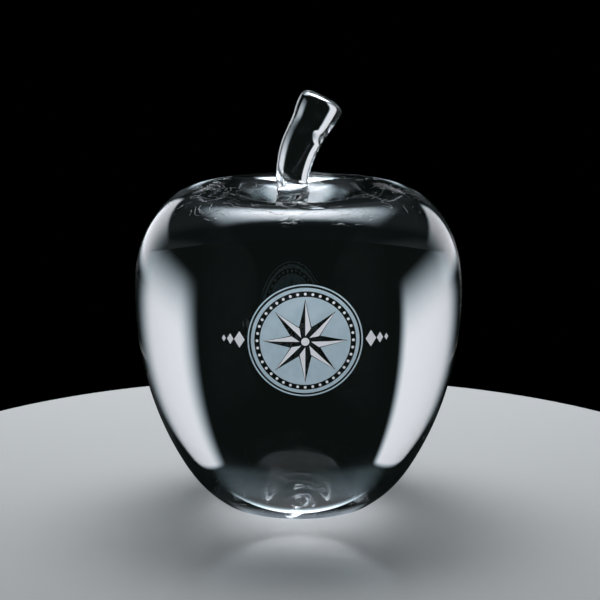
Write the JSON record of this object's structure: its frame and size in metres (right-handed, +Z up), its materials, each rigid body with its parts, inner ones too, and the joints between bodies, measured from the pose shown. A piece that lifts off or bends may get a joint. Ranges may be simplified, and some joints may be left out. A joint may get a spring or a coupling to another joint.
{
  "type": "glass apple ornament",
  "caption": "Solid clear glass apple with a dimpled top, a ground flat base and a bent, flared glass stem fused into the dimple.",
  "frame": {"origin": "centre of the ground flat that the apple stands on", "axes": "+Z up along the apple's axis, the stem leans to +X, the front of the apple faces -Y"},
  "size_m": [0.1024, 0.1024, 0.1302],
  "materials": {
    "clear_glass": "fire-polished clear glass, with a ground and polished flat"
  },
  "bodies": {
    "root": {"glass_body": "clear_glass", "glass_stem": "clear_glass"}
  },
  "joints": []
}
